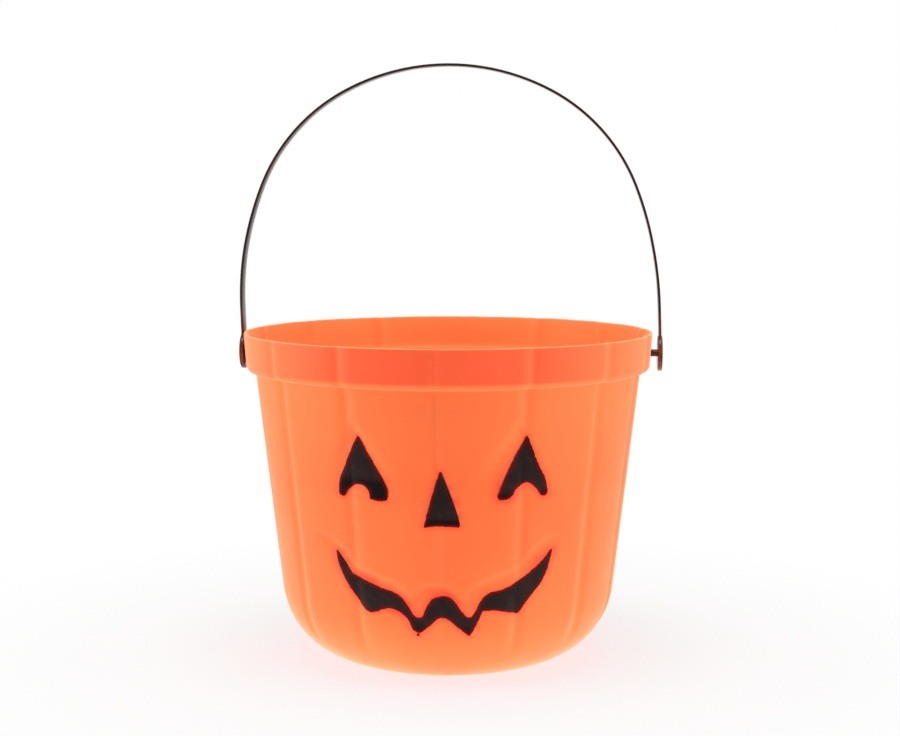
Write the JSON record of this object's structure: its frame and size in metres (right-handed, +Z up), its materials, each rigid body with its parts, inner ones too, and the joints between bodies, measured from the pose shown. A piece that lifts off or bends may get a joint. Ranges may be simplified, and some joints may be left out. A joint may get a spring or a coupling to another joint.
{
  "type": "pumpkin candy pail",
  "caption": "Open moulded pail with pumpkin lobes and a sunken, black-painted jack-o'-lantern face, carried by a strap handle that snaps into the rim and swings over it.",
  "frame": {"origin": "middle of the flat base, on the pail's axis", "axes": "+Z up along the pail's axis, the face looks along -Y, the handle pivots lie on an axis along X"},
  "size_m": [0.2072, 0.1998, 0.2897],
  "materials": {
    "orange_plastic": "soft gloss, slightly translucent",
    "black_plastic": "satin",
    "black_paint": "sprayed, satin"
  },
  "bodies": {
    "tub": {"pail_tub": "orange_plastic", "left_eye_paint": "black_paint", "right_eye_paint": "black_paint", "nose_paint": "black_paint", "mouth_paint": "black_paint"},
    "handle": {"carry_handle": "black_plastic"}
  },
  "joints": [
    {"name": "handle_swing", "type": "hinge", "parent": "tub", "child": "handle", "pos_m": [0, 0, 0.1496], "axis": [1, 0, 0], "range_deg": [-141, 141]}
  ]
}
